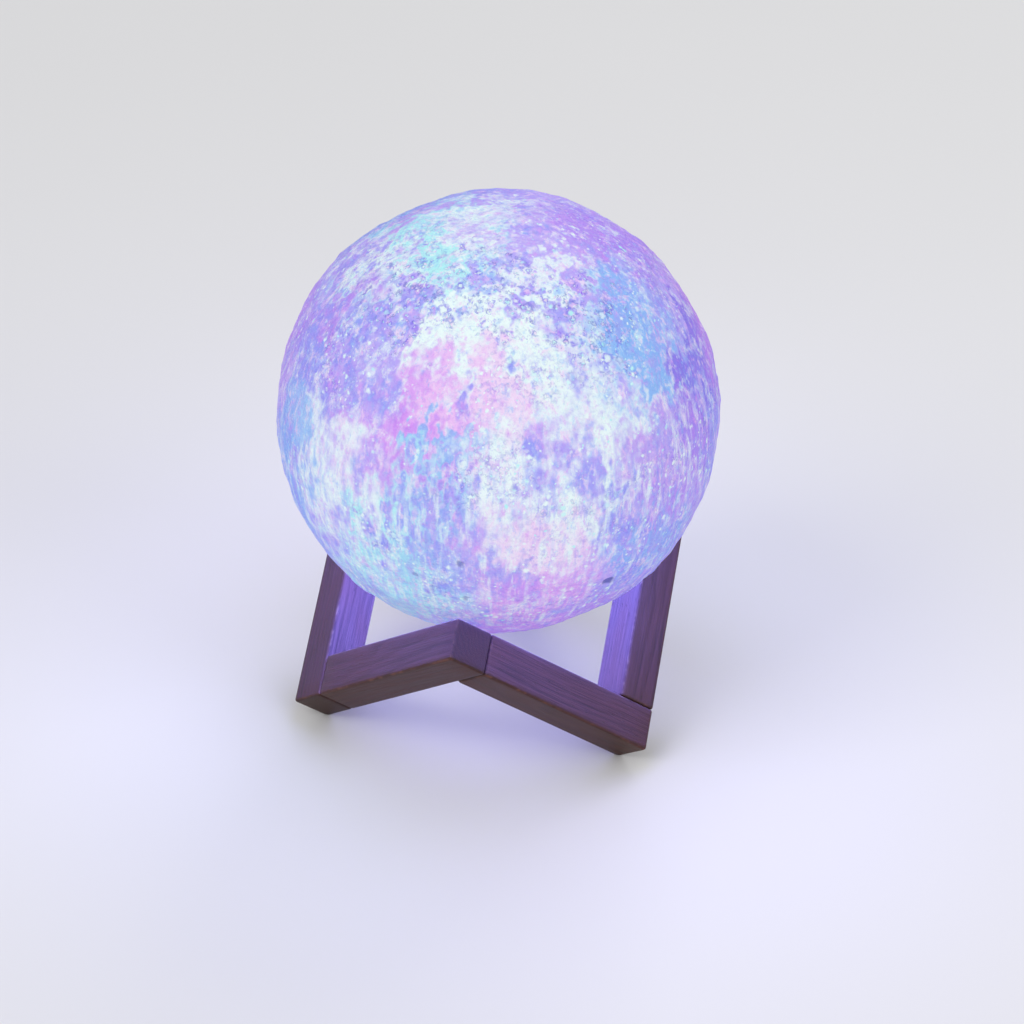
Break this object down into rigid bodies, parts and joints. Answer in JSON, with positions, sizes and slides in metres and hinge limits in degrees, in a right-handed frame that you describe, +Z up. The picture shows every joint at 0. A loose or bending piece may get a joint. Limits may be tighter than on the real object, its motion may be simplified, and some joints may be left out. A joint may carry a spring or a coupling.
{
  "type": "galaxy lamp",
  "caption": "Round printed globe lamp with a mottled nebula glow, lying loose in a zigzag cradle of dark wooden bars, with a push button and charging socket underneath.",
  "frame": {"origin": "on the lamp's upright axis at table level, under the globe's centre", "axes": "+Z up; the cradle's front raised corner points to -Y, +X is to the right"},
  "size_m": [0.15, 0.15, 0.1873],
  "materials": {
    "stained_wood": "satin stained hardwood, dark reddish brown",
    "dowel_wood": "raw beech",
    "printed_shell": "printed translucent shell with a nebula mottle, lit from inside",
    "white_plastic": "moulded, fine texture",
    "milky_plastic": "milky, lets light through",
    "clear_plastic": "clear, polished end",
    "dark_button": "soft touch, dark",
    "black_plastic": "moulded black",
    "socket_steel": "bright plated",
    "screw_steel": "zinc plated",
    "green_board": "green solder mask",
    "white_board": "white solder mask",
    "led_white": "clear resin on white",
    "battery_foil": "matt foil pouch",
    "foam_tape": "foam",
    "lead_cover": "insulated lead"
  },
  "bodies": {
    "stand": {"left_bar": "stained_wood", "front_left_bar": "stained_wood", "front_right_bar": "stained_wood", "right_bar": "stained_wood", "back_right_bar": "stained_wood", "back_left_bar": "stained_wood", "joint_dowels": "dowel_wood"},
    "globe": {"shade": "printed_shell", "mount_ring": "white_plastic", "base_cap": "white_plastic", "cap_screws": "screw_steel", "tact_switch": "black_plastic", "charge_socket": "socket_steel", "socket_tongue": "black_plastic", "light_pipe": "clear_plastic", "indicator_led": "led_white", "main_board": "green_board", "board_screws": "screw_steel", "control_chips": "black_plastic", "remote_receiver": "black_plastic", "battery_plug": "white_plastic", "battery_leads": "lead_cover", "battery": "battery_foil", "battery_tape": "foam_tape", "light_housing": "white_plastic", "housing_screws": "screw_steel", "led_plug": "white_plastic", "led_leads": "lead_cover", "led_board": "white_board", "leds": "led_white", "led_board_screws": "screw_steel", "diffuser": "milky_plastic"},
    "button": {"button": "dark_button", "switch_plunger": "black_plastic"}
  },
  "joints": [
    {"name": "globe_lift", "type": "slide", "parent": "stand", "child": "globe", "axis": [0, 0, 1], "range_m": [0, 0.1]},
    {"name": "button_press", "type": "slide", "parent": "globe", "child": "button", "axis": [0, 0, 1], "range_m": [0, 0.0008], "stiffness_N_per_m": 800, "springref_m": -0.0003}
  ]
}
